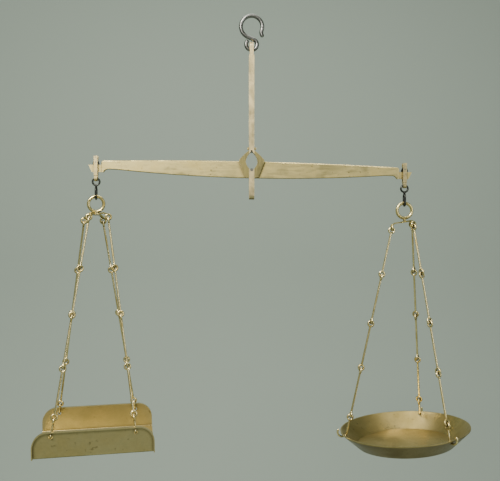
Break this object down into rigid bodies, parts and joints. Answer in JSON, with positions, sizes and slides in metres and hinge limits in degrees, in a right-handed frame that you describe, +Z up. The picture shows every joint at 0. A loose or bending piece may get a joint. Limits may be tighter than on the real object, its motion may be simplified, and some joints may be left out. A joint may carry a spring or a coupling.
{
  "type": "hanging balance scale",
  "caption": "Hanging equal-arm balance: S hook, pierced shears, flat beam, stirrups, wire-link chains, a round pan and an open-ended tray.",
  "frame": {"origin": "point inside the top of the S hook that rests on its support", "axes": "+X along the beam towards the round pan, +Y from front to back, +Z up"},
  "size_m": [0.4129, 0.122, 0.4126],
  "materials": {
    "dark_steel": "dark aged steel",
    "pin_steel": "worn bright steel",
    "shears_brass": "aged olive brass",
    "beam_brass": "satin brass with soft patina",
    "stirrup_brass": "satin brass",
    "spider_brass": "satin brass",
    "chain_brass": "satin brass wire",
    "tray_brass": "mottled aged brass",
    "pan_brass": "mottled aged brass"
  },
  "bodies": {
    "hook": {"s_hook": "dark_steel"},
    "shears": {"shears_head": "shears_brass", "shears_front_cheek": "shears_brass", "shears_rear_cheek": "shears_brass", "shears_yoke": "shears_brass", "fulcrum_pin": "dark_steel", "stop_pin": "pin_steel"},
    "balance_beam": {"beam": "beam_brass", "end_bearing_left": "dark_steel", "end_bearing_right": "dark_steel"},
    "left_stirrup": {"stirrup_left": "stirrup_brass", "pivot_pin_left": "pin_steel"},
    "right_stirrup": {"stirrup_right": "stirrup_brass", "pivot_pin_right": "pin_steel"},
    "left_link": {"twisted_link_left": "dark_steel"},
    "right_link": {"twisted_link_right": "dark_steel"},
    "tray_hanger": {"tray_spider": "spider_brass"},
    "pan_hanger": {"pan_spider": "spider_brass"},
    "weighing_tray": {"tray": "tray_brass"},
    "weighing_pan": {"pan": "pan_brass"},
    "pan_left_chain": {"pan_left_link_1": "chain_brass", "pan_left_link_2": "chain_brass", "pan_left_link_3": "chain_brass", "pan_left_link_4": "chain_brass", "pan_left_hook": "chain_brass"},
    "pan_front_chain": {"pan_front_link_1": "chain_brass", "pan_front_link_2": "chain_brass", "pan_front_link_3": "chain_brass", "pan_front_link_4": "chain_brass", "pan_front_hook": "chain_brass"},
    "pan_rear_chain": {"pan_rear_link_1": "chain_brass", "pan_rear_link_2": "chain_brass", "pan_rear_link_3": "chain_brass", "pan_rear_link_4": "chain_brass", "pan_rear_hook": "chain_brass"},
    "tray_front_left_chain": {"tray_front_left_link_1": "chain_brass", "tray_front_left_link_2": "chain_brass", "tray_front_left_link_3": "chain_brass", "tray_front_left_link_4": "chain_brass", "tray_front_left_hook": "chain_brass"},
    "tray_front_right_chain": {"tray_front_right_link_1": "chain_brass", "tray_front_right_link_2": "chain_brass", "tray_front_right_link_3": "chain_brass", "tray_front_right_link_4": "chain_brass", "tray_front_right_hook": "chain_brass"},
    "tray_rear_left_chain": {"tray_rear_left_link_1": "chain_brass", "tray_rear_left_link_2": "chain_brass", "tray_rear_left_link_3": "chain_brass", "tray_rear_left_link_4": "chain_brass", "tray_rear_left_hook": "chain_brass"},
    "tray_rear_right_chain": {"tray_rear_right_link_1": "chain_brass", "tray_rear_right_link_2": "chain_brass", "tray_rear_right_link_3": "chain_brass", "tray_rear_right_link_4": "chain_brass", "tray_rear_right_hook": "chain_brass"}
  },
  "joints": [
    {"name": "shears_sway", "type": "hinge", "parent": "hook", "child": "shears", "pos_m": [0, 0, -0.03057], "axis": [1, 0, 0], "range_deg": [-40, 40]},
    {"name": "beam_tilt", "type": "hinge", "parent": "shears", "child": "balance_beam", "pos_m": [0, 0, -0.12707], "axis": [0, 1, 0], "range_deg": [-13.15, 10.85]},
    {"name": "left_stirrup_pivot", "type": "hinge", "parent": "balance_beam", "child": "left_stirrup", "pos_m": [-0.14674, 0, -0.13782], "axis": [0, 1, 0], "range_deg": [-10.85, 13.15]},
    {"name": "left_link_sway", "type": "hinge", "parent": "left_stirrup", "child": "left_link", "pos_m": [-0.14674, 0, -0.1528], "axis": [1, 0, 0], "range_deg": [-40, 40]},
    {"name": "right_stirrup_pivot", "type": "hinge", "parent": "balance_beam", "child": "right_stirrup", "pos_m": [0.1462, 0, -0.1437], "axis": [0, 1, 0], "range_deg": [-10.85, 13.15]},
    {"name": "right_link_sway", "type": "hinge", "parent": "right_stirrup", "child": "right_link", "pos_m": [0.1462, 0, -0.15868], "axis": [1, 0, 0], "range_deg": [-40, 40]},
    {"name": "tray_swing", "type": "hinge", "parent": "left_link", "child": "tray_hanger", "pos_m": [-0.14674, 0, -0.1725], "axis": [-0.1392, 0.9903, 0], "range_deg": [-15, 15]},
    {"name": "tray_twist", "type": "hinge", "parent": "tray_hanger", "child": "weighing_tray", "pos_m": [-0.14674, 0, -0.1725], "axis": [0, 0, 1], "range_deg": [-5, 5]},
    {"name": "tray_front_left_lean", "type": "hinge", "parent": "tray_hanger", "child": "tray_front_left_chain", "pos_m": [-0.15119, -0.01222, -0.19106], "axis": [-0.5734, -0.8192, 0], "range_deg": [-1.46, 1.46]},
    {"name": "tray_front_right_lean", "type": "hinge", "parent": "tray_hanger", "child": "tray_front_right_chain", "pos_m": [-0.13453, -0.00445, -0.19092], "axis": [0.7719, -0.6358, 0], "range_deg": [-1.46, 1.46]},
    {"name": "tray_rear_left_lean", "type": "hinge", "parent": "tray_hanger", "child": "tray_rear_left_chain", "pos_m": [-0.15896, 0.00445, -0.19413], "axis": [-0.7855, 0.6188, 0], "range_deg": [-1.48, 1.48]},
    {"name": "tray_rear_right_lean", "type": "hinge", "parent": "tray_hanger", "child": "tray_rear_right_chain", "pos_m": [-0.1423, 0.01222, -0.19398], "axis": [0.577, 0.8168, 0], "range_deg": [-1.48, 1.48]},
    {"name": "pan_swing", "type": "hinge", "parent": "right_link", "child": "pan_hanger", "pos_m": [0.1462, 0, -0.17838], "axis": [0, 1, 0], "range_deg": [-15, 15]},
    {"name": "pan_twist", "type": "hinge", "parent": "pan_hanger", "child": "weighing_pan", "pos_m": [0.1462, 0, -0.17838], "axis": [0, 0, 1], "range_deg": [-5, 5]},
    {"name": "pan_left_lean", "type": "hinge", "parent": "pan_hanger", "child": "pan_left_chain", "pos_m": [0.1342, 0, -0.20058], "axis": [-1, 0, 0], "range_deg": [-1.51, 1.51]},
    {"name": "pan_front_lean", "type": "hinge", "parent": "pan_hanger", "child": "pan_front_chain", "pos_m": [0.1522, -0.01039, -0.19777], "axis": [0.502, -0.8649, 0], "range_deg": [-1.56, 1.56]},
    {"name": "pan_rear_lean", "type": "hinge", "parent": "pan_hanger", "child": "pan_rear_chain", "pos_m": [0.15566, 0.00739, -0.19722], "axis": [0.502, 0.8649, 0], "range_deg": [-1.55, 1.55]}
  ],
  "couplings": [
    {"joint": "left_stirrup_pivot", "follows": "beam_tilt", "ratio": -1},
    {"joint": "right_stirrup_pivot", "follows": "beam_tilt", "ratio": -1},
    {"joint": "tray_front_left_lean", "follows": "tray_twist", "ratio": 0.2828},
    {"joint": "tray_front_right_lean", "follows": "tray_twist", "ratio": 0.28234},
    {"joint": "tray_rear_left_lean", "follows": "tray_twist", "ratio": 0.28687},
    {"joint": "tray_rear_right_lean", "follows": "tray_twist", "ratio": 0.28611},
    {"joint": "pan_left_lean", "follows": "pan_twist", "ratio": 0.29276},
    {"joint": "pan_front_lean", "follows": "pan_twist", "ratio": 0.30144},
    {"joint": "pan_rear_lean", "follows": "pan_twist", "ratio": 0.3006}
  ]
}
